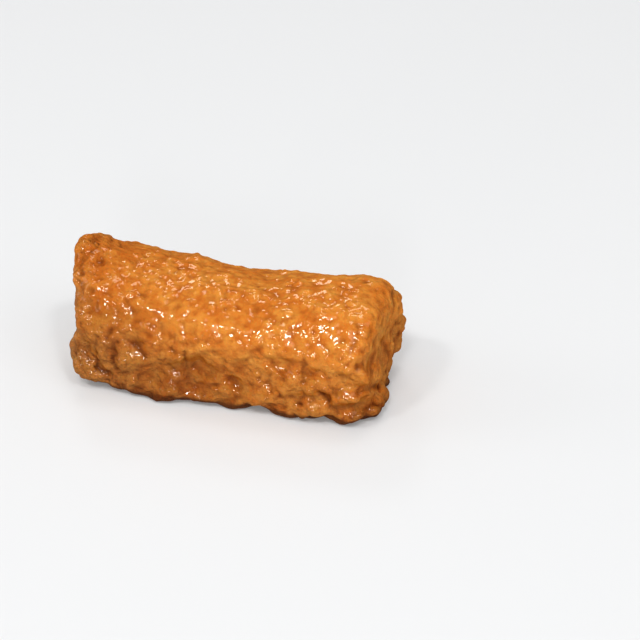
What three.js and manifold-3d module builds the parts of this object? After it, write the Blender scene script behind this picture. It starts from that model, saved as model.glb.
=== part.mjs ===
// Inari sushi: a bale of seasoned rice closed inside one simmered, fried-tofu pouch.
// The pouch is one soft solid: a blunt bale with a pulled-up ear, puckered ends and tucked corners.
// Millimetres. X runs along the bale, -Y is its front, +Z is up, and the origin is the middle
// of the box round the bale, on the surface it lies on.
import * as THREE from "three";
import { ImprovedNoise } from "three/addons/math/ImprovedNoise.js";
import { mergeVertices } from "three/addons/utils/BufferGeometryUtils.js";
import Module from "manifold-3d";

// Driving dimensions.
const LENGTH = 79;
const WIDTH = 38;
const HEIGHT = 31;

// The bale's form: the larger the power, the squarer the outline.
const CROWN_POWER = 2.4;
const UNDERSIDE_POWER = 4.2;
const END_POWER = 9;
const SADDLE = 2.4; // how far the crown sags between the two ends
const WAIST = 0.6; // how far each long side draws in at the middle
const PRESSED = 1.2; // how much of the underside its own weight presses flat
const TOUCHING = 0.25; // skin this close to the surface is pressed on to it

// Where the skin is slack over the rice: none of it above, all of it below these heights.
const TAUT_ABOVE = 0.8 * HEIGHT;
const SLACK_BELOW = 0.4 * HEIGHT;

// Relief that runs all over: its size across, and its height where the skin is taut and slack.
const SWELLS = { across: 13, taut: 0.7, slack: 1.2 };
const GRAINS = { across: 6.2, taut: 0.5, slack: 1.3 };
const BLISTERS = { across: 3.4, taut: 0.25, slack: 0.4 };
const WRINKLES = { across: 5.5, stretch: 1.7, sharp: 4, deep: 0.7 };

// Soft pulls on the bale are written as place, pull and reach.
// The corners of the flat pouch that the filling leaves standing.
const CORNERS = [
  { at: [-36, 2, 29], pull: [-3.3, 0, 4.2], reach: 8 },
  { at: [-37.5, -8.5, 27], pull: [-1.6, 0, 0.3], reach: 3.6 },
  { at: [-36.5, -15.5, 7.5], pull: [-2, -0.8, 0], reach: 4 },
  { at: [37, 4, 27], pull: [0.3, 0.3, 0.6], reach: 6 },
  { at: [40, 11, 14], pull: [0.9, 0, 0], reach: 9 },
  { at: [39.5, -6, 3.5], pull: [2.6, 0, -0.3], reach: 4.5 },
];

// Where the skin of the front sags onto the surface.
const SAGS = [
  { at: [-22.5, -16.5, 3], pull: [0, -1.8, -1.0], reach: 4.5 },
  { at: [-12.5, -17, 2.5], pull: [0, -2.2, -1.3], reach: 4.5 },
  { at: [-2.5, -17, 3], pull: [0, -1.1, -0.6], reach: 3.6 },
  { at: [12.5, -17, 3], pull: [0, -1.0, -0.6], reach: 4.5 },
  { at: [19, -17, 2.5], pull: [0, -2.0, -1.3], reach: 4.5 },
  { at: [34.6, -16.4, 2.6], pull: [0, -2.1, -1.2], reach: 5.2 },
];

// Where the ends draw in: under the ear, at the front foot of the left end and the back foot
// of the right end.
const DRAWN_IN = [
  { at: [-38, -14, 17], pull: [1.8, 0, 0], reach: 8 },
  { at: [-39, -17, 4], pull: [0.6, 0.4, 0.3], reach: 6 },
  { at: [39, 9, 4], pull: [-1.2, 0, 0], reach: 6 },
];

// Rises and hollows: place, rise along the skin's normal and reach.
const RISES = [
  { at: [-30.8, 9, 28.8], rise: -0.8, reach: 3.5 },
  { at: [-23, 8, 28], rise: 1.0, reach: 4.5 },
  { at: [-13, 10, 26], rise: 1.2, reach: 4.5 },
  { at: [3, 11, 25.5], rise: -1.3, reach: 9 },
  { at: [-18.7, 10, 27.6], rise: -0.8, reach: 2.6 },
  { at: [-8.7, 11.8, 25.7], rise: -1.0, reach: 2.6 },
  { at: [29, -17.4, 2], rise: -1.4, reach: 2.3 },
  { at: [40.5, -2, 7], rise: -1.6, reach: 3.2 },
];

// Creases pressed into the skin, each drawn through a few places on it.
const CREASE_WIDTH = 1.6;
const EAR_GROOVE = { deep: 1.0, through: [[-34, 3, 31], [-33.5, -4, 30.5], [-33, -8, 29]] };
const CREASES = [
  // The left end: the pucker under the ear and the tucked corner below it.
  { deep: 2.0, through: [[-39, -5, 24], [-37.7, -10.4, 24.2], [-36, -14.5, 24.5], [-32, -16, 23.5]] },
  { deep: 1.7, through: [[-39.5, -6, 18], [-35.5, -18.6, 15.7], [-33, -18.8, 11.6], [-27.5, -18.4, 6]] },
  // The front: short folds where the slack skin has sunk between grains.
  { deep: 1.0, through: [[-13.4, -18.3, 19.6], [-12.6, -18.7, 17], [-11.6, -18.8, 15]] },
  { deep: 1.3, through: [[-10, -18.7, 11], [-6.4, -18.7, 11], [-4.1, -18, 5.3]] },
  { deep: 1.3, through: [[-3.9, -18.7, 12], [0.2, -18.6, 10]] },
  { deep: 1.0, through: [[4, -18.7, 10.5], [7.1, -18.4, 7]] },
  { deep: 0.9, through: [[11.4, -18.8, 16], [14.7, -18.8, 15.7], [18.7, -18.9, 14.8]] },
  { deep: 1.1, through: [[7.3, -18.4, 6.9], [12.6, -18.3, 6.4]] },
  { deep: 1.2, through: [[14.6, -17.6, 4], [21.6, -17.9, 4.5]] },
  { deep: 1.1, through: [[23.3, -18.7, 7.6], [28.1, -18.8, 8.2]] },
  // The right end: two folds that run in from the side seam, and the tuck at the foot.
  { deep: 1.1, through: [[39.6, -12, 17.6], [38.5, -16.7, 18.7], [35.5, -18.4, 18]] },
  { deep: 1.1, through: [[39.9, -10, 11], [37.8, -17.4, 11.5], [34, -18.6, 12.5]] },
  { deep: 1.9, through: [[31, -18.4, 5.5], [36, -17.9, 6.6], [39.3, -14.6, 6.6], [40, -4, 7]] },
  { deep: 1.2, through: [[39.6, 6, 28], [39.9, 4, 20], [39.8, -3, 12]] },
];

// The pouch's mouth, folded over along the underside.
const MOUTH_WIDTH = 2.1;
const MOUTH = { deep: 3.4, through: [[-33, 5, 0], [-12, 7, 0], [10, 5.5, 0], [33, 8, 0]] };

// Cells of the grid that the skin is drawn on.
const CELLS_LONG = 53;
const CELLS_WIDE = 23;
const CELLS_HIGH = 22;
const CURVE_STEPS = 16;
const SAME_PLACE = 1e-4;

const noise = new ImprovedNoise();
const vector = ([x, y, z]) => new THREE.Vector3(x, y, z);

// The back sags and is creased as the front is, turned half a turn about the upright axis.
const turned = ([x, y, z]) => [-x, -y, z];
const backSags = SAGS.map(({ at, pull, reach }) => ({ at: turned(at), pull: turned(pull), reach }));
const backCreases = CREASES.map(({ deep, through }) => ({ deep, through: through.map(turned) }));

// A finely divided cube from -1 to 1, its cells spaced to come out even once it is rounded.
function dividedCube() {
  const cube = new THREE.BoxGeometry(2, 2, 2, CELLS_LONG, CELLS_WIDE, CELLS_HIGH);
  cube.deleteAttribute("normal");
  cube.deleteAttribute("uv");
  const skin = mergeVertices(cube, SAME_PLACE);
  const corners = skin.getAttribute("position");
  const even = (t) => Math.tan((t * Math.PI) / 4);
  for (let i = 0; i < corners.count; i++)
    corners.setXYZ(i, corners.getX(i), even(corners.getY(i)), even(corners.getZ(i)));
  return skin;
}

// Rounds a point of the cube to the bale: full in section, blunt at both ends.
function rounded(point) {
  const power = point.z > 0 ? CROWN_POWER : UNDERSIDE_POWER;
  const across = (Math.abs(point.y) ** power + Math.abs(point.z) ** power) ** (1 / power);
  const reach = (across ** END_POWER + Math.abs(point.x) ** END_POWER) ** (1 / END_POWER);
  return point.clone().divideScalar(reach);
}

// Gives the rounded bale its real size, its sagging crown and its drawn-in waist.
function sized(point) {
  const middle = 1 - point.x ** 2;
  const half = HEIGHT / 2;
  return new THREE.Vector3(
    (point.x * LENGTH) / 2,
    point.y * (WIDTH / 2 - WAIST * middle),
    point.z * (half - (point.z > 0 ? SADDLE * middle : 0)) + half - PRESSED,
  );
}

// 1 at a place, fading to nothing a little past the reach.
const nearness = (point, place, reach) => Math.exp(-((point.distanceTo(place) / reach) ** 2));

function pulled(point) {
  const moved = point.clone();
  for (const { at, pull, reach } of [...CORNERS, ...SAGS, ...backSags, ...DRAWN_IN])
    moved.addScaledVector(vector(pull), nearness(point, vector(at), reach));
  return moved;
}

// A crease, ready to measure how near a point of the skin is to it.
function crease({ deep, through }, width = CREASE_WIDTH) {
  const places = new THREE.CatmullRomCurve3(through.map(vector)).getPoints(CURVE_STEPS);
  return (point) => {
    const away = Math.min(...places.map((place) => place.distanceTo(point)));
    return -deep * Math.exp(-((away / width) ** 2));
  };
}

const creases = [EAR_GROOVE, ...CREASES, ...backCreases].map((each) => crease(each));
creases.push(crease(MOUTH, MOUTH_WIDTH));

const noiseAt = (point, across, stretch = 1) =>
  noise.noise(point.x / (across * stretch), point.y / across, point.z / across);

// How far the skin stands out from the plain bale at a point.
function relief(point) {
  const slack = 1 - THREE.MathUtils.smoothstep(point.z, SLACK_BELOW, TAUT_ABOVE);
  let out = 0;
  for (const { across, taut, slack: loose } of [SWELLS, GRAINS, BLISTERS])
    out += noiseAt(point, across) * THREE.MathUtils.lerp(taut, loose, slack);
  const fold = 1 - WRINKLES.sharp * Math.abs(noiseAt(point, WRINKLES.across, WRINKLES.stretch));
  out -= WRINKLES.deep * slack * Math.max(0, fold);
  for (const { at, rise, reach } of RISES) out += rise * nearness(point, vector(at), reach);
  out += Math.min(...creases.map((depthAt) => depthAt(point)));
  return out;
}

// The pouch before its underside is pressed flat.
function pouchSkin() {
  const skin = dividedCube();
  const places = skin.getAttribute("position");
  const point = new THREE.Vector3();
  for (let i = 0; i < places.count; i++) {
    point.fromBufferAttribute(places, i);
    places.setXYZ(i, ...pulled(sized(rounded(point))));
  }
  skin.computeVertexNormals();
  const normals = skin.getAttribute("normal");
  const normal = new THREE.Vector3();
  for (let i = 0; i < places.count; i++) {
    point.fromBufferAttribute(places, i);
    normal.fromBufferAttribute(normals, i);
    point.addScaledVector(normal, relief(point));
    if (Math.abs(point.z) < TOUCHING) point.z = -TOUCHING;
    places.setXYZ(i, ...point);
  }
  return skin;
}

const wasm = await Module();
wasm.setup();

function solidOf(geometry) {
  return new wasm.Manifold(
    new wasm.Mesh({
      numProp: 3,
      vertProperties: new Float32Array(geometry.getAttribute("position").array),
      triVerts: new Uint32Array(geometry.index.array),
    }),
  );
}

function geometryOf(solid) {
  const { vertProperties, triVerts } = solid.getMesh();
  return new THREE.BufferGeometry()
    .setAttribute("position", new THREE.BufferAttribute(vertProperties, 3))
    .setIndex(new THREE.BufferAttribute(triVerts, 1));
}

// Cuts off what would lie under the surface, which leaves the flat rest face.
function pressedFlat(skin) {
  const below = new THREE.BoxGeometry(2 * LENGTH, 2 * WIDTH, HEIGHT);
  below.deleteAttribute("normal");
  below.deleteAttribute("uv");
  below.translate(0, 0, -HEIGHT / 2);
  return geometryOf(solidOf(skin).subtract(solidOf(mergeVertices(below, SAME_PLACE))));
}

// Sets the origin at the middle of the box round the bale.
function centred(geometry) {
  geometry.computeBoundingBox();
  const middle = geometry.boundingBox.getCenter(new THREE.Vector3());
  geometry.translate(-middle.x, -middle.y, 0);
  geometry.computeVertexNormals();
  return geometry;
}

const tofuSkin = new THREE.MeshStandardMaterial({ color: 0xd98a35, roughness: 0.3, metalness: 0 });
const pouch = new THREE.Mesh(centred(pressedFlat(pouchSkin())), tofuSkin);
pouch.name = "pouch";

const inariSushi = new THREE.Group();
inariSushi.add(pouch);

export default inariSushi;
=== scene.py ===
"""An inari sushi: sweet-simmered tofu skin drawn tight round a bale of rice."""
import math

import bmesh
import bpy
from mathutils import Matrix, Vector


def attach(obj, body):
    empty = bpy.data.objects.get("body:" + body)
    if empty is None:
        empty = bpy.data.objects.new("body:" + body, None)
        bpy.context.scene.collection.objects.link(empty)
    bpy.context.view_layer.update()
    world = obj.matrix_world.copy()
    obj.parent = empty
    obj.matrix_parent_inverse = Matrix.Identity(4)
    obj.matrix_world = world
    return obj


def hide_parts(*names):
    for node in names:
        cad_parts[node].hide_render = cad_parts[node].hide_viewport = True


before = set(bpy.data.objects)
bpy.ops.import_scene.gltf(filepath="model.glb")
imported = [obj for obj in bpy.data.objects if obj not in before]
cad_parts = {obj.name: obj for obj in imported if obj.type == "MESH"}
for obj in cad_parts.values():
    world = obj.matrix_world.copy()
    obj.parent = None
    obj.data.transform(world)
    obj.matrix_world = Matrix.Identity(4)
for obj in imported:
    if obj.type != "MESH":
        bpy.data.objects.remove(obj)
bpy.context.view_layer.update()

# ---------------------------------------------------------------------------------------------
# The skin, drawn smooth. One fried-tofu pouch, stretched over its filling and closed underneath.
# The part's solid is its form, in flats about 1.5 mm wide: here it is drawn again on an even
# net of quads, and the flats are smoothed away, which leaves the ear, the lumps and the tucks.
MM = 0.001
WELD = 0.001 * MM
NET = 0.39 * MM
SMOOTHING = {"factor": 0.5, "iterations": 24}


def make_firm(piece):
    """Applies the piece's modifiers to its mesh."""
    graph = bpy.context.evaluated_depsgraph_get()
    mesh = bpy.data.meshes.new_from_object(piece.evaluated_get(graph), depsgraph=graph)
    piece.modifiers.clear()
    piece.data = mesh
    mesh.name = piece.name


skin_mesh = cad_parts["pouch"].data.copy()
skin_mesh.materials.clear()
welded = bmesh.new()
welded.from_mesh(skin_mesh)
bmesh.ops.remove_doubles(welded, verts=welded.verts, dist=WELD)
welded.to_mesh(skin_mesh)
welded.free()
skin = bpy.data.objects.new("tofu_skin", skin_mesh)
bpy.context.scene.collection.objects.link(skin)

net = skin.modifiers.new("net", "REMESH")
net.mode = "VOXEL"
net.voxel_size = NET
smooth = skin.modifiers.new("smooth", "SMOOTH")
smooth.factor = SMOOTHING["factor"]
smooth.iterations = SMOOTHING["iterations"]
make_firm(skin)

# The net can close round a speck inside the body. Only what joins the highest point is skin.
netted = bmesh.new()
netted.from_mesh(skin.data)
newest = {max(netted.verts, key=lambda corner: corner.co.z)}
reached = set(newest)
while newest:
    newest = {edge.other_vert(corner) for corner in newest for edge in corner.link_edges} - reached
    reached |= newest
specks = [corner for corner in netted.verts if corner not in reached]
bmesh.ops.delete(netted, geom=specks, context="VERTS")
netted.to_mesh(skin.data)
netted.free()

# ---------------------------------------------------------------------------------------------
# Folds. Where the slack skin sinks between the grains or is tucked in at a corner it closes to
# a narrow line. Each is drawn through a few places on the skin, and the relief below presses
# it in. Places are in millimetres on the bale, which CENTRED brings to the part's own origin.
CENTRED = Vector((0.23, 0.03, 0.0))
FOLDS = [
    # The left end: inside the ear, below it, and the corner that is tucked in under both.
    [(-34.8, 0.2, 32), (-35.1, -1.9, 31.6), (-36, -4.2, 30.9), (-37.8, -5.3, 29.8)],
    [(-37.8, -5.3, 29.8), (-37.7, -6.4, 28.8), (-36.4, -8.3, 28.3)],
    [(-33.6, -3.1, 30.2), (-32.6, -5.0, 29.3)],
    [(-37.3, -10.3, 26.7), (-34.5, -12.1, 26.4), (-32.1, -12.8, 26.3)],
    [(-39.5, -8, 15), (-35, -17.5, 12), (-30.2, -17.6, 7.4), (-27.6, -17.4, 5.8), (-22.9, -18.7, 6.7)],
    [(-28.4, -17.7, 4.2), (-24.2, -18.5, 3.2)],
    # The front.
    [(-10.6, -17.6, 10.1), (-8.7, -17.4, 9.7), (-7, -17.1, 9.5)],
    [(-7, -17.2, 9.4), (-6, -17.1, 6.9), (-4.5, -17, 5.1), (-3.1, -17.4, 4)],
    [(-5.3, -16.2, 10.2), (-3.5, -16.8, 9.4), (-0.7, -17.2, 9.1)],
    [(-11.4, -18.9, 7.1), (-8.4, -18.6, 6.8)],
    [(-3.2, -17, 6.1), (0.4, -18.1, 7.1)],
    [(4.4, -17.4, 8.9), (6.6, -17.1, 7.7)],
    [(11.4, -18.8, 16), (14.7, -18.8, 15.7), (18.7, -18.9, 14.8)],
    [(14.6, -17.6, 4), (21.6, -17.9, 4.5)],
    [(28, -17.9, 9.2), (29.4, -18.2, 8.1), (30.2, -16.8, 5.5)],
    # The right end: down the seam, round the corner, and above the lobe at the foot.
    [(39.2, 7.5, 24.8), (39.7, 6.6, 22.3), (39.5, 5.4, 20.4), (39.8, 2, 17.5)],
    [(39.2, -10.2, 20.7), (39, -9.1, 16.7), (38.6, -11, 15.3), (36.5, -16.7, 17.9)],
    [(36.7, -17.1, 10.7), (38.7, -14.6, 10.7), (39.1, -11.1, 9.5), (39.6, -6.8, 7.2)],
    [(30.9, -16.5, 4.2), (34, -17.7, 6.4), (38.3, -14.5, 5.4), (39.7, -12, 5.3)],
]


def half_turned(place):
    """The same place on the back, half a turn about the upright axis."""
    x, y, z = place
    return (-x, -y, z)


fold_lines = bpy.data.curves.new("fold_lines", "CURVE")
fold_lines.dimensions = "3D"
for fold in FOLDS + [[half_turned(place) for place in fold] for fold in FOLDS]:
    spline = fold_lines.splines.new("BEZIER")
    spline.bezier_points.add(len(fold) - 1)
    for point, place in zip(spline.bezier_points, fold):
        point.co = (Vector(place) + CENTRED) * MM
        point.handle_left_type = point.handle_right_type = "AUTO"
folds = bpy.data.objects.new("fold_lines", fold_lines)
bpy.context.scene.collection.objects.link(folds)

# ---------------------------------------------------------------------------------------------
# The relief of the skin. Frying raised blisters on it, simmering slackened it, and the rice
# pushes it out in lumps: taut and finely pebbled over the crown, slack, lumpy and creased down
# the sides and at the ends. One Geometry Nodes tree moves the net along its own normals.


class Wire:
    """A node's output. Sums and products of wires and numbers add Math nodes to its tree."""

    def __init__(self, tree, socket):
        self.tree = tree
        self.socket = socket

    def output(self, name):
        """Another output of the same node."""
        return Wire(self.tree, self.socket.node.outputs[name])

    def maths(self, operation, *values):
        """A Math node with these values, which are wires or numbers, on its sockets."""
        inputs = dict(enumerate(values))
        return self.tree.node("ShaderNodeMath", {"operation": operation}, inputs)

    def __add__(self, other):
        return self.maths("ADD", self, other)

    def __sub__(self, other):
        return self.maths("SUBTRACT", self, other)

    def __rsub__(self, other):
        return self.maths("SUBTRACT", other, self)

    def __mul__(self, other):
        return self.maths("MULTIPLY", self, other)

    def __truediv__(self, other):
        return self.maths("DIVIDE", self, other)

    def __rtruediv__(self, other):
        return self.maths("DIVIDE", other, self)

    def __pow__(self, other):
        return self.maths("POWER", self, other)

    def __neg__(self):
        return self.maths("MULTIPLY", self, -1.0)

    def __abs__(self):
        return self.maths("ABSOLUTE", self)

    def at_least(self, other, softness=0.0):
        """The larger of the two, rounded over by softness where they are nearly equal."""
        return self.maths("SMOOTH_MAX", self, other, softness)

    def at_most(self, other, softness=0.0):
        """The smaller of the two, rounded over by softness where they are nearly equal."""
        return self.maths("SMOOTH_MIN", self, other, softness)

    def rising(self, start, full):
        """0 up to start, 1 from full on, and a soft step between them. full may be the lower."""
        inputs = {"Value": self, "From Min": start, "From Max": full}
        return self.tree.node("ShaderNodeMapRange", {"interpolation_type": "SMOOTHSTEP"}, inputs)

    def between(self, at_zero, at_one):
        """The first number where this wire is 0, and evenly to the second where it is 1."""
        return self * (at_one - at_zero) + at_zero

    def ridge(self, middle, steepness):
        """1 where the wire is at the middle, falling evenly to 0 on both sides."""
        return (1 - abs(self - middle) * steepness).at_least(0.0)


class Tree:
    """A node tree that is being put together."""

    def __init__(self, nodes_of):
        self.nodes = nodes_of.nodes
        self.links = nodes_of.links

    def node(self, kind, settings=None, inputs=None, output=0):
        """Adds a node with its settings and its sockets' values or wires; gives one output."""
        made = self.nodes.new(kind)
        for name, value in (settings or {}).items():
            setattr(made, name, value)
        for name, value in (inputs or {}).items():
            if isinstance(value, Wire):
                self.links.new(value.socket, made.inputs[name])
            else:
                made.inputs[name].default_value = value
        return Wire(self, made.outputs[output]) if made.outputs else made


# Every size and height of the relief is in millimetres.
RELIEF_SIZES = {
    "Swell Size": 11.0,
    "Swell Height": 0.6,
    "Bulge Size": 4.5,
    "Bulge Height": 0.4,
    "Lump Size": 7.0,
    "Lump Height": 1.1,
    "Grain Size": 3.2,
    "Grain Height": 0.55,
    "Crease Size": 6.0,
    "Crease Depth": 0.4,
    "Blister Size": 3.0,
    "Blister Height": 0.7,
    "Ring Size": 4.6,
    "Ring Height": 0.26,
    "Pebble Size": 2.2,
    "Pebble Height": 0.42,
    "Fold Width": 1.1,
    "Fold Depth": 0.75,
}
RELIEF_SEED = 3.0

relief_tree = bpy.data.node_groups.new("tofu_relief", "GeometryNodeTree")
interface = relief_tree.interface
interface.new_socket("Geometry", in_out="INPUT", socket_type="NodeSocketGeometry")
sizes = {name: interface.new_socket(name, in_out="INPUT", socket_type="NodeSocketFloat")
         for name in RELIEF_SIZES}
seed_input = interface.new_socket("Seed", in_out="INPUT", socket_type="NodeSocketFloat")
folds_input = interface.new_socket("Folds", in_out="INPUT", socket_type="NodeSocketObject")
finish_input = interface.new_socket("Finish", in_out="INPUT", socket_type="NodeSocketMaterial")
interface.new_socket("Geometry", in_out="OUTPUT", socket_type="NodeSocketGeometry")

relief = Tree(relief_tree)
given = relief.node("NodeGroupInput")
spot = relief.node("ShaderNodeVectorMath", {"operation": "SCALE"},
                   {0: relief.node("GeometryNodeInputPosition"), "Scale": 1 / MM})
lengthwise = relief.node("ShaderNodeSeparateXYZ", inputs={0: spot})
height = lengthwise.output("Z")

# A fine noise bends every pattern a little, so that no two blisters come out alike. Creases are
# also drawn out along one slant, the way that the skin hangs.
BEND_SIZE, BEND_DETAIL = 4.0, 1.0
BEND = (1.6, 1.6, 1.6)
SLANT = (0.77, 0.0, -0.64)
DRAWN_OUT = 0.6

bent = relief.node("ShaderNodeTexNoise", output="Color", inputs={
    "Vector": spot, "Scale": 1 / BEND_SIZE, "Detail": BEND_DETAIL})
warped = relief.node("ShaderNodeVectorMath", {"operation": "MULTIPLY_ADD"},
                     {0: bent, 1: BEND, 2: spot})
slant = relief.node("ShaderNodeVectorMath", {"operation": "DOT_PRODUCT"}, {0: warped, 1: SLANT},
                    output="Value")
drawn = relief.node("ShaderNodeVectorMath", {"operation": "MULTIPLY_ADD"},
                    {0: slant, 1: [-DRAWN_OUT * part for part in SLANT], 2: warped})

NOISE_MIDDLE, NOISE_GAIN = 0.5, 3
PUFF_ROUNDING, PUFF_FULLNESS, PUFF_LOWEST, PUFF_GAIN = 0.01, 0.35, 0.2, 1.2
CREASE_DETAIL, CREASE_THINNESS = 0.5, 9
DOME_MERGING, DOME_STEEPNESS = 0.15, 1.5
BLISTER_SCATTER, BLISTER_CHANCE = 0.9, (0.1, 0.9)


def noise(size, detail=0.0):
    """Smooth noise about 0, rarely past -1 or 1, its humps so many millimetres across."""
    raw = relief.node("ShaderNodeTexNoise", {"noise_dimensions": "4D"}, {
        "Vector": warped, "W": given.output("Seed"), "Scale": 1 / size, "Detail": detail})
    return (raw - NOISE_MIDDLE) * NOISE_GAIN


def puffs(size):
    """Plump humps of all shapes, from 0 in the narrow creases between them to about 1."""
    return ((noise(size) ** 2 + PUFF_ROUNDING) ** PUFF_FULLNESS - PUFF_LOWEST) * PUFF_GAIN


def creases(size):
    """Slanting lines with smooth skin between them, from 0 to 1 along a line."""
    raw = relief.node("ShaderNodeTexNoise", inputs={
        "Vector": drawn, "Scale": 1 / size, "Detail": CREASE_DETAIL})
    return raw.ridge(NOISE_MIDDLE, CREASE_THINNESS) ** 2


def domes(size):
    """Round domes packed side by side, from 0 in the valleys between them to 1."""
    from_middle = relief.node("ShaderNodeTexVoronoi", {"feature": "SMOOTH_F1"}, {
        "Vector": warped, "Scale": 1 / size, "Smoothness": DOME_MERGING})
    return (1 - (from_middle * DOME_STEEPNESS) ** 2).at_least(0.0)


def blistered(size, radius, width):
    """Blisters well apart, of chance heights up to 1: round ones, or with a radius rings."""
    from_middle = relief.node("ShaderNodeTexVoronoi", inputs={
        "Vector": warped, "Scale": 1 / size, "Randomness": BLISTER_SCATTER})
    chance = relief.node("ShaderNodeSeparateXYZ", inputs={0: from_middle.output("Color")})
    hump = relief.node("ShaderNodeMath", {"operation": "EXPONENT"},
                       {0: -(((from_middle * size - radius) / width) ** 2)})
    return hump * chance.rising(*BLISTER_CHANCE)


# Where the skin is slack and where it is taut: by height, and at the two ends. Pairs are where
# a change starts and where it is full, in millimetres up from the floor or out from the middle.
# Over the crown it is stretched flatter, the foot is pressed flat, and blisters crowd in patches.
SLACK_SIDE = (25.0, 12.0)
SLACK_END = (30.0, 38.0)
LEFT_END_SLACK, RIGHT_END_SLACK = 0.85, 0.55
CROWN_UP = (25, 31)
CROWN_LENGTHWISE = (-30, -18)
CROWN_FLATNESS = 0.45
FLAT_FOOT = (0.15, 2.2)
PATCH_SIZE, PATCH_EDGE = 7.0, (-0.5, 0.4)

slack_side = height.rising(*SLACK_SIDE)
slack_left = (-lengthwise).rising(*SLACK_END) * LEFT_END_SLACK
slack_right = lengthwise.rising(*SLACK_END) * RIGHT_END_SLACK
slack = slack_side.at_least(slack_left + slack_right)
taut = 1 - slack
foot = height.rising(*FLAT_FOOT)
patch = noise(PATCH_SIZE).rising(*PATCH_EDGE)
stretched = 1 - height.rising(*CROWN_UP) * lengthwise.rising(*CROWN_LENGTHWISE) * CROWN_FLATNESS

# What is left of each kind of relief where it is lowest, next to 1 where it is highest: lumps
# and grains where the skin is taut, blisters where it is slack and outside the rough patches.
# Widths and radii are in millimetres.
SWELL_DETAIL = 1.0
TAUT_LUMPS, TAUT_GRAINS = 0.25, 0.3
SLACK_BLISTERS, SPARSE_BLISTERS = 0.7, 0.4
BLISTER_WIDTH = 0.9
RING_RADIUS, RING_WIDTH = 1.6, 0.5
PEBBLES = {"everywhere": 0.3, "patch": 0.35, "slack": 0.1}

swells = noise(given.output("Swell Size"), SWELL_DETAIL) * given.output("Swell Height")
bulges = noise(given.output("Bulge Size")) * given.output("Bulge Height") * slack
lumps = puffs(given.output("Lump Size")) * given.output("Lump Height")
lumps = lumps * slack.between(TAUT_LUMPS, 1)
grains = puffs(given.output("Grain Size")) * given.output("Grain Height")
grains = grains * slack.between(TAUT_GRAINS, 1)
blisters = blistered(given.output("Blister Size"), 0.0, BLISTER_WIDTH)
blisters = blisters * given.output("Blister Height") * patch.between(SPARSE_BLISTERS, 1)
blisters = blisters * taut.between(SLACK_BLISTERS, 1) * stretched
rings = blistered(given.output("Ring Size"), RING_RADIUS, RING_WIDTH)
rings = rings * given.output("Ring Height") * taut
pebble_share = patch * PEBBLES["patch"] + slack * PEBBLES["slack"] + PEBBLES["everywhere"]
pebbles = domes(given.output("Pebble Size")) * given.output("Pebble Height") * pebble_share
pebbles = pebbles * stretched
lines = creases(given.output("Crease Size")) * given.output("Crease Depth") * slack * patch

# A fold is a valley along its line. The line wanders a little, and the valley fades here and
# there to a part of its depth.
WANDER_SIZE, WANDER = 2.5, 0.4
FADE_SIZE, FADE_EDGE, FADED = 5.0, (-0.6, 0.4), 0.6

line_shapes = relief.node("GeometryNodeObjectInfo", inputs={0: given.output("Folds")},
                          output="Geometry")
edges = relief.node("GeometryNodeCurveToMesh", inputs={0: line_shapes})
fold_distance = relief.node("GeometryNodeProximity", {"target_element": "EDGES"}, {0: edges},
                            output="Distance") / MM
wandering = (fold_distance + noise(WANDER_SIZE) * WANDER) / given.output("Fold Width")
nearness = relief.node("ShaderNodeMath", {"operation": "EXPONENT"}, {0: -(wandering ** 2)})
fading = noise(FADE_SIZE).rising(*FADE_EDGE).between(FADED, 1)
fold_valleys = nearness * given.output("Fold Depth") * fading

# The relief's own mean height comes off again, so that the skin stays on the solid's surface,
# and nothing stands out or sinks in further than the highest and the deepest, in millimetres.
TAUT_LEVEL, SLACK_LEVEL = 0.4, 0.9
HIGHEST, DEEPEST, ROUNDING = 1.2, -0.95, 0.8

shape = swells + bulges + lumps + grains + blisters + rings + pebbles
shape = shape - lines - fold_valleys - slack.between(TAUT_LEVEL, SLACK_LEVEL)
shape = shape.at_most(HIGHEST, ROUNDING).at_least(DEEPEST, ROUNDING) * foot


def store(mesh, name, value):
    """The mesh with a named number at each of its points, which the finish below reads."""
    return relief.node("GeometryNodeStoreNamedAttribute", {"data_type": "FLOAT", "domain": "POINT"},
                       {"Geometry": mesh, "Name": name, "Value": value})


def evened(value, times):
    """The value evened out over the net, so many times from each point to the next."""
    return relief.node("GeometryNodeBlurAttribute", {"data_type": "FLOAT"},
                       {"Value": value, "Iterations": times})


# A hollow lies below the broad run of the skin, and a pit below what is close round it.
BROAD_TIMES, CLOSE_TIMES = 50, 4

measured = store(given, "raised", shape)
raised = relief.node("GeometryNodeInputNamedAttribute", {"data_type": "FLOAT"}, {"Name": "raised"})
outward = relief.node("ShaderNodeVectorMath", {"operation": "SCALE"},
                      {0: relief.node("GeometryNodeInputNormal"), "Scale": raised * MM})
moved = relief.node("GeometryNodeSetPosition", inputs={"Geometry": measured, "Offset": outward})
broad_run = evened(raised, BROAD_TIMES)
close_run = evened(raised, CLOSE_TIMES)
kept = store(moved, "hollow", broad_run - close_run)
kept = store(kept, "pit", close_run - raised)
kept = store(kept, "slack", slack)
whole = relief.node("GeometryNodeRealizeInstances", inputs={"Geometry": kept})
rounded = relief.node("GeometryNodeSetShadeSmooth", inputs={"Geometry": whole, "Shade Smooth": True})
coated = relief.node("GeometryNodeSetMaterial", inputs={
    "Geometry": rounded, "Material": given.output("Finish")})
relief.node("NodeGroupOutput", inputs={"Geometry": coated})

# ---------------------------------------------------------------------------------------------
# The finish: tofu skin simmered in sugar and soy, amber and a little see-through, and wet with
# clear glaze. Its colour also carries painted light and shade: darker in the creases, partly the
# liquor gathered there and partly painted shade, paler on what stands out, partly where blisters
# thin it and partly painted light, and painted shade and sheen in the places below.
AMBER = (0.575, 0.205, 0.030, 1)
HONEY = (0.645, 0.290, 0.056, 1)
RUSSET = (0.42, 0.112, 0.012, 1)
UMBER = (0.13, 0.028, 0.002, 1)
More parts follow.
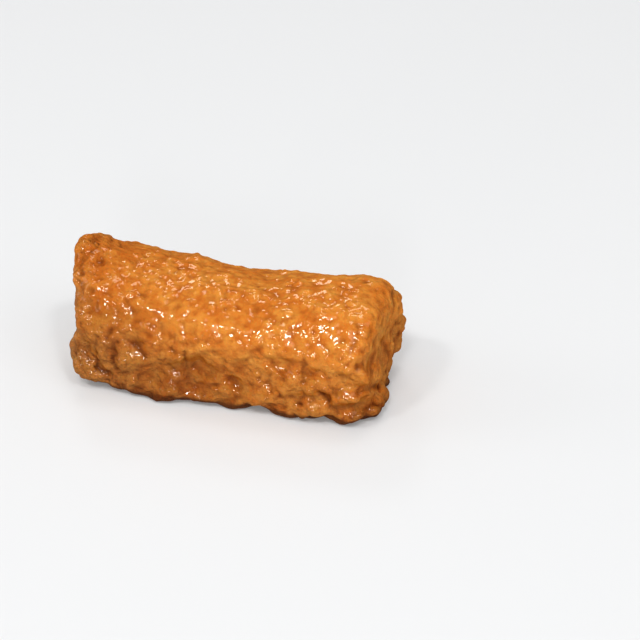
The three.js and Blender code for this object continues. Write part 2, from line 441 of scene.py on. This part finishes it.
# The darkest brown: soy soaked in at the foot, and painted contact shadow.
SOAK_AND_SHADOW_BROWN = (0.09, 0.022, 0.003, 1)
TAN = (0.68, 0.31, 0.075, 1)
BUFF = (0.60, 0.29, 0.085, 1)

tofu = bpy.data.materials.new("glazed_tofu_skin")
tofu.use_nodes = True
tofu.node_tree.nodes.clear()
look = Tree(tofu.node_tree)
on_skin = look.node("ShaderNodeTexCoord", output="Object")
hollow = look.node("ShaderNodeAttribute", {"attribute_name": "hollow"}, output="Fac")
pit = look.node("ShaderNodeAttribute", {"attribute_name": "pit"}, output="Fac")
slackness = look.node("ShaderNodeAttribute", {"attribute_name": "slack"}, output="Fac")
along_metres = look.node("ShaderNodeSeparateXYZ", inputs={0: on_skin})
along = along_metres / MM
upward = along_metres.output("Z") / MM

# Blotches of each kind: their size in millimetres, how finely they break up, and the two levels
# of the noise between which their edge lies.
BLOTCHES = {
    "honey": (4.5, 2.0, 0.35, 0.7),
    "tan": (2.2, 1.0, 0.42, 0.62),
    "russet": (1.6, 1.0, 0.48, 0.68),
    "buff": (1.6, 2.0, 0.3, 0.7),
    "dry": (5.0, 2.0, 0.4, 0.55),
}
PIMPLE_STEEPNESS, PIMPLE_CHANCE = 1.5, (0.2, 1.0)


def mottle(size, detail):
    """Soft noise from 0 to 1, its humps so many millimetres across."""
    return look.node("ShaderNodeTexNoise", inputs={
        "Vector": on_skin, "Scale": 1 / (size * MM), "Detail": detail})


def blotches(kind):
    """Blotches with soft edges, from 0 to 1."""
    size, detail, edge_start, edge_full = BLOTCHES[kind]
    return mottle(size, detail).rising(edge_start, edge_full)


def pimples(size):
    """Small round pimples side by side, of chance heights up to 1."""
    from_middle = look.node("ShaderNodeTexVoronoi", inputs={
        "Vector": on_skin, "Scale": 1 / (size * MM)})
    chance = look.node("ShaderNodeSeparateXYZ", inputs={0: from_middle.output("Color")})
    domed = (1 - (from_middle * PIMPLE_STEEPNESS) ** 2).at_least(0.0)
    return domed ** 2 * chance.rising(*PIMPLE_CHANCE)


def place_of(lengthwise_change, upward_change):
    """A part of the bale, from 0 outside it to 1: both changes as a start and a full place."""
    return along.rising(*lengthwise_change) * upward.rising(*upward_change)


# Parts of the bale, in millimetres from its middle and up from the floor. The left end is what
# lies below the ear.
ear_end = place_of((-12, -36), (18, 26))
left_end = place_of((-31, -38), (29, 25))
left_foot = place_of((-8, -30), (22, 12))
left_flank = place_of((0, -28), (27, 22))
crown = place_of(CROWN_LENGTHWISE, CROWN_UP)
lobe = place_of((31, 36), (7, 3))
right_end = along.rising(34, 40)
towards_ear = along.rising(-5, -36)
towards_left = along.rising(22, -8)
low = upward.rising(20, 8)
# The lowest band of skin, darkened as soy soaked in there and as painted contact shadow.
rim = upward.rising(3.2, 1.6)

# Fine wrinkles low on the sides, mostly at the left foot, bumped in and painted darker along their
# lines as painted shade.
WRINKLE_SIZE, WRINKLE_DETAIL, WRINKLE_THINNESS = 2.4, 1.5, 14
WRINKLES_ELSEWHERE = 0.4

wrinkles = mottle(WRINKLE_SIZE, WRINKLE_DETAIL).ridge(NOISE_MIDDLE, WRINKLE_THINNESS)
wrinkles = wrinkles * low * left_foot.between(WRINKLES_ELSEWHERE, 1)

# Painted shade: how much darker the sides get towards the floor, a little everywhere, and more
# round the place along the bale that is darkest, which fades out over its width to either side.
# The left flank is painted darker from higher up, and the lobe at the right foot is darkest of all.
LOW_SHADE, LOW_LEFT_SHADE = 0.2, 0.28
LEFT_FLANK_SHADE = 0.3
DARKEST, DARKEST_WIDTH, DARKEST_SHADE = -9, 20, 0.2
LOBE_SHADE = 0.62

low_shade = low * towards_left.between(LOW_SHADE, LOW_LEFT_SHADE)
painted_shade = low_shade.at_least(left_flank * LEFT_FLANK_SHADE)
painted_shade = painted_shade + low * along.ridge(DARKEST, 1 / DARKEST_WIDTH) * DARKEST_SHADE
painted_shade = painted_shade.at_least(lobe * LOBE_SHADE)

# The relief that takes a colour, in millimetres: what stands out, painted paler as painted light,
# and creases and deep cavities, painted darker as painted shade and in part as the liquor gathered
# there. Speckles are weaker on the crown and where the skin is slack.
STANDING_OUT, CREASE, CAVITY = (0.0, 0.3), (-0.05, 0.35), (0.0, 0.55)
CAVITY_GAIN = 0.9
CROWN_SPECKLES, SLACK_SPECKLES = 0.6, 0.5
BUFF_LEAST, BUFF_MOST = 0.3, 0.7

# A painted sheen: pale tan blotches on the humps of the slack skin, kept out of its hollows.
painted_hump_sheen = (blotches("tan") - hollow).at_most(1.0) * slackness
speckles = blotches("russet") * slackness.between(1, SLACK_SPECKLES)
speckles = speckles * crown.between(1, CROWN_SPECKLES)
cavities = (hollow * CAVITY_GAIN + pit * CAVITY_GAIN).rising(*CAVITY)

# The colours, each laid over the ones before: the colour, how much it covers, and where.
LAYERS = [
    (HONEY, 1.0, blotches("honey")),
    # Painted light: paler on what stands out, in part where blisters thin the skin.
    (HONEY, 0.6, (-hollow).rising(*STANDING_OUT)),
    # Painted sheen on the slack skin's humps.
    (TAN, 0.35, painted_hump_sheen),
    (RUSSET, 0.4, speckles),
    # Redder in the creases: in part the liquor gathered there, in part painted shade.
    (RUSSET, 0.5, hollow.rising(*CREASE)),
    # Painted shade: redder and darker towards the ear end.
    (RUSSET, 0.35, ear_end),
    # Painted shade: a little redder at the right end.
    (RUSSET, 0.1, right_end),
    # Painted sheen: paler at the left foot.
    (BUFF, 0.35, left_foot),
    # Painted sheen: pale blotches on the left end below the ear.
    (BUFF, 1.0, left_end * blotches("buff").between(BUFF_LEAST, BUFF_MOST)),
    # Painted shade along the fine wrinkles.
    (UMBER, 0.15, wrinkles),
    # Darker in the cavities: painted shade, with the liquor gathered there.
    (UMBER, 1.0, cavities),
    # Painted shade, darker towards the floor.
    (UMBER, 1.0, painted_shade),
    # Darkest at the foot: soy soaked in there, and painted contact shadow.
    (SOAK_AND_SHADOW_BROWN, 0.85, rim),
]
skin_colour = AMBER
for colour, cover, share in LAYERS:
    skin_colour = look.node("ShaderNodeMix", {"data_type": "RGBA"}, output=2, inputs={
        0: share * cover, 6: skin_colour, 7: colour})

# The finest grain is bump: each kind, and its height in millimetres where the skin is taut and
# where it is slack. It is lower on the crown and higher towards the ear.
GRAINS = [
    (mottle(0.9, 2.0), 0.25, 0.75),
    (mottle(1.6, 0.0), 0.4, 0.55),
    (pimples(1.8), 0.25, 0.25),
    (pimples(1.1), 0.0, 0.2),
]
CROWN_GRAIN, EAR_GRAIN = 0.55, 1.6
WRINKLE_DEPTH = 0.2

fine_grain = 0
for grain, taut_height, slack_height in GRAINS:
    fine_grain = grain * slackness.between(taut_height, slack_height) + fine_grain
fine_grain = fine_grain * crown.between(1, CROWN_GRAIN) * towards_ear.between(1, EAR_GRAIN)
bumped = look.node("ShaderNodeBump", inputs={
    "Strength": 1.0, "Distance": MM, "Height": fine_grain - wrinkles * WRINKLE_DEPTH})

# The glaze is thinner in dry blotches where the skin is slack, towards the left end but for its
# foot, at the right end and down in the creases. It shines less where the skin is seen edge on,
# though hardly less at the left end.
DRY_BLOTCHES, LEFT_GLAZE, LEFT_FOOT_GLAZE = 0.15, 0.85, 0.95
LEFT_GLAZE_STARTS, LEFT_GLAZE_FULL = -38, -8
RIGHT_END_GLAZE = 0.7
CREASE_GLAZE, CREASE_DEEP = 0.6, (0.0, 0.4)
LEFT_END_EDGE_ON = 0.3

wet = 1 - slackness * blotches("dry") * DRY_BLOTCHES
left_glaze = along.rising(LEFT_GLAZE_STARTS, LEFT_GLAZE_FULL).between(LEFT_GLAZE, 1)
wet = wet * left_glaze.at_least(left_foot * LEFT_FOOT_GLAZE)
wet = wet * right_end.between(1, RIGHT_END_GLAZE)
wet = wet * hollow.rising(*CREASE_DEEP).between(1, CREASE_GLAZE)
edge_on = look.node("ShaderNodeLayerWeight", inputs={"Blend": 0.5}, output="Facing")

# Under the glaze the skin is duller where it is slack, and light sinks into it, red the deepest.
TAUT_ROUGHNESS, SLACK_ROUGHNESS = 0.28, 0.36
SKIN_DEPTH = (0.0020, 0.0008, 0.0003)

glazed = look.node("ShaderNodeBsdfPrincipled", {"subsurface_method": "RANDOM_WALK"}, {
    "Base Color": skin_colour,
    "Roughness": slackness.between(TAUT_ROUGHNESS, SLACK_ROUGHNESS),
    "IOR": 1.4,
    "Specular IOR Level": 0.0,
    "Subsurface Weight": 0.2,
    "Subsurface Radius": SKIN_DEPTH,
    "Subsurface Scale": 1.0,
    "Coat Weight": wet * (1 - edge_on * left_end.between(1, LEFT_END_EDGE_ON)),
    "Coat Roughness": 0.055,
    "Coat IOR": 1.6,
    "Normal": bumped,
})
look.node("ShaderNodeOutputMaterial", inputs={"Surface": glazed})

fried = skin.modifiers.new("relief", "NODES")
fried.node_group = relief_tree
for name, value in RELIEF_SIZES.items():
    fried[sizes[name].identifier] = value
fried[seed_input.identifier] = RELIEF_SEED
fried[folds_input.identifier] = folds
fried[finish_input.identifier] = tofu
make_firm(skin)
bpy.data.objects.remove(folds)
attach(skin, "root")
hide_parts("pouch")

# ---------------------------------------------------------------------------------------------
# The table: a plain pale floor of matt paper, broad enough to fill every view from above. It
# glows a little, which keeps it pale. The glaze reflects it dimmer than the eye sees it, so that
# the skin keeps its own colour between the sparks.
FLOOR_SIZE = 2.4
FLOOR_COLOUR = (0.557, 0.56, 0.562, 1)
FLOOR_GLOW = 0.21
FLOOR_IN_GLAZE = (0.35, 0.35, 0.35, 1)
WHITE = (1, 1, 1, 1)

floor_mesh = bpy.data.meshes.new("floor")
reach = FLOOR_SIZE / 2
corners = [(-reach, -reach, 0), (reach, -reach, 0), (reach, reach, 0), (-reach, reach, 0)]
floor_mesh.from_pydata(corners, [], [(0, 1, 2, 3)])
floor = bpy.data.objects.new("floor", floor_mesh)
bpy.context.scene.collection.objects.link(floor)
paper = bpy.data.materials.new("plain_paper")
paper.use_nodes = True
paper.node_tree.nodes.clear()
surface = Tree(paper.node_tree)
matt = surface.node("ShaderNodeBsdfPrincipled", inputs={
    "Base Color": FLOOR_COLOUR, "Roughness": 0.9, "Specular IOR Level": 0.2,
    "Emission Color": WHITE, "Emission Strength": FLOOR_GLOW})
dimmed = surface.node("ShaderNodeEmission", inputs={"Color": FLOOR_IN_GLAZE})
floor_in_gloss = surface.node("ShaderNodeLightPath", output="Is Glossy Ray")
surface.node("ShaderNodeOutputMaterial", inputs={
    "Surface": surface.node("ShaderNodeMixShader", inputs={0: floor_in_gloss, 1: matt, 2: dimmed})})
floor_mesh.materials.append(paper)

# ---------------------------------------------------------------------------------------------
# The light: softboxes round the pouch, in a pale room. Three small ones above the front give the
# glaze its sparks, and wider or weaker ones fill in from above, the sides, behind and low down.
# The glaze reflects the room dimmer than it lights the pouch, as it does the floor.
LIGHT_DISTANCE = 2.4
LIGHT_AIM = Vector((0, 0, 0.015))
# Each light's direction from the pouch, its side in metres, and its power in watts.
LIGHTS = {
    "key_light": ((0.05, -0.62, 0.78), 0.34, 12.5),
    "left_key_light": ((-0.35, -0.5, 0.8), 0.28, 9),
    "right_key_light": ((0.4, -0.42, 0.83), 0.26, 9),
    "wide_light": ((0.1, -0.6, 0.78), 1.2, 8),
    "top_light": ((0.0, 0.3, 0.95), 0.6, 5.8),
    "back_light": ((-0.35, 0.7, 0.62), 0.4, 4),
    "left_light": ((-0.9, -0.2, 0.35), 1.1, 7),
    "front_light": ((0.2, -0.9, 0.3), 0.32, 8),
    "low_light": ((-0.15, -1.0, 0.12), 0.22, 3),
    "side_light": ((0.75, -0.4, 0.7), 1.4, 8),
}
ROOM_COLOUR = (0.45, 0.452, 0.458, 1)
ROOM_IN_GLAZE = 0.4
BACKDROP_COLOUR = (0.91, 0.908, 0.912, 1)

for name, (direction, side, power) in LIGHTS.items():
    lamp = bpy.data.lights.new(name, "AREA")
    lamp.shape = "SQUARE"
    lamp.size = side
    lamp.energy = power
    softbox = bpy.data.objects.new(name, lamp)
    softbox.location = Vector(direction).normalized() * LIGHT_DISTANCE
    softbox.rotation_euler = (LIGHT_AIM - softbox.location).to_track_quat("-Z", "Y").to_euler()
    bpy.context.scene.collection.objects.link(softbox)

room = bpy.data.worlds.new("pale_room")
room.use_nodes = True
room.node_tree.nodes.clear()
walls = Tree(room.node_tree)
room_in_gloss = walls.node("ShaderNodeLightPath", output="Is Glossy Ray")
lighting = walls.node("ShaderNodeBackground", inputs={
    "Color": ROOM_COLOUR, "Strength": room_in_gloss.between(1, ROOM_IN_GLAZE)})
backdrop = walls.node("ShaderNodeBackground", inputs={"Color": BACKDROP_COLOUR})
seen = walls.node("ShaderNodeLightPath", output="Is Camera Ray")
walls.node("ShaderNodeOutputWorld", inputs={
    "Surface": walls.node("ShaderNodeMixShader", inputs={0: seen, 1: lighting, 2: backdrop})})
bpy.context.scene.world = room

# ---------------------------------------------------------------------------------------------
# The camera: a long lens a little above and to the right of the front, with the pouch left of
# the middle of the picture. Lengths are in metres, and the lens and its sensor in millimetres.
# A tone gamma below 1 deepens the tones a little.
AZIMUTH, ELEVATION = math.radians(15.8), math.radians(30)
LENS, SENSOR = 110, 36
DISTANCE = 0.485
AIM_HEIGHT = 0.016
AIM_RIGHT, AIM_UP = 0.02142, -0.00045
NEAREST, FURTHEST = 0.01, 20
TONE_GAMMA = 0.8

right = Vector((math.cos(AZIMUTH), math.sin(AZIMUTH), 0))
back = Vector((math.sin(AZIMUTH) * math.cos(ELEVATION),
               -math.cos(AZIMUTH) * math.cos(ELEVATION), math.sin(ELEVATION)))
up = back.cross(right)
aim = Vector((0, 0, AIM_HEIGHT)) + right * AIM_RIGHT + up * AIM_UP
lens = bpy.data.cameras.new("camera")
lens.lens, lens.sensor_width = LENS, SENSOR
lens.clip_start, lens.clip_end = NEAREST, FURTHEST
camera = bpy.data.objects.new("camera", lens)
camera.location = aim + back * DISTANCE
camera.rotation_euler = (-back).to_track_quat("-Z", "Y").to_euler()
bpy.context.scene.collection.objects.link(camera)
bpy.context.scene.camera = camera
bpy.context.scene.view_settings.view_transform = "Standard"
bpy.context.scene.view_settings.gamma = TONE_GAMMA
